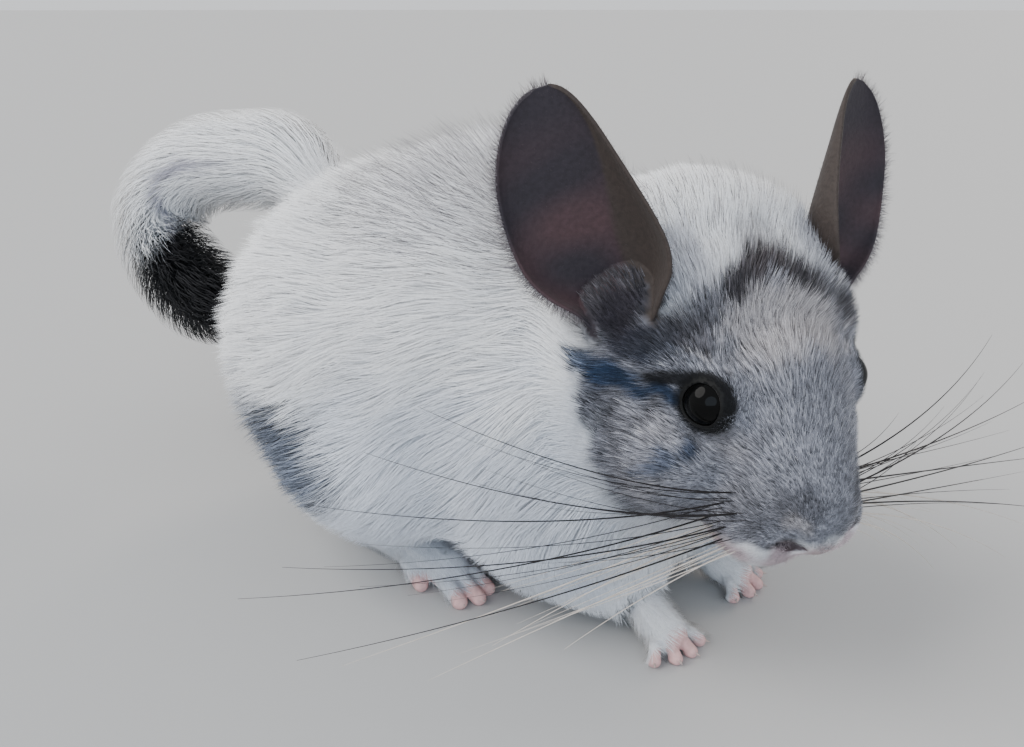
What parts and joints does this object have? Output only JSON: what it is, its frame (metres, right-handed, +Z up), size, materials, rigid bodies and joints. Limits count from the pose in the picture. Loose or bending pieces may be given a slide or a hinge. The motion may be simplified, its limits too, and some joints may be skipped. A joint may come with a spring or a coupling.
{
  "type": "chinchilla",
  "caption": "Life-size chinchilla standing low on four feet, with a pale coat, a grey mask, large cupped ears, long whiskers and a hooked, dark-tipped tail.",
  "frame": {"origin": "on the floor under the middle of the model's box", "axes": "+Z up; the body lies along Y and faces -Y, and +X is the animal's left"},
  "size_m": [0.197, 0.2762, 0.1253],
  "materials": {
    "white_fur": "dense white plush fur",
    "grey_fur": "dense ticked grey plush fur",
    "dark_fur": "long black brush hair",
    "ear_skin": "thin dark skin, almost bare",
    "pink_skin": "bare pink skin",
    "eye": "wet black eye"
  },
  "bodies": {
    "root": {"head": "grey_fur", "muzzle": "grey_fur", "lower_jaw": "white_fur", "eye_right": "eye", "eye_left": "eye", "ear_right": "ear_skin", "ear_left": "ear_skin", "neck": "white_fur", "torso": "white_fur", "rump": "white_fur", "thigh_right": "white_fur", "thigh_left": "white_fur", "hindfoot_right": "white_fur", "hindfoot_left": "white_fur", "foreleg_right": "white_fur", "foreleg_left": "white_fur", "forepaw_right": "pink_skin", "forepaw_left": "pink_skin", "tail_base": "white_fur", "tail_middle": "white_fur", "tail_tip": "dark_fur"}
  },
  "joints": []
}
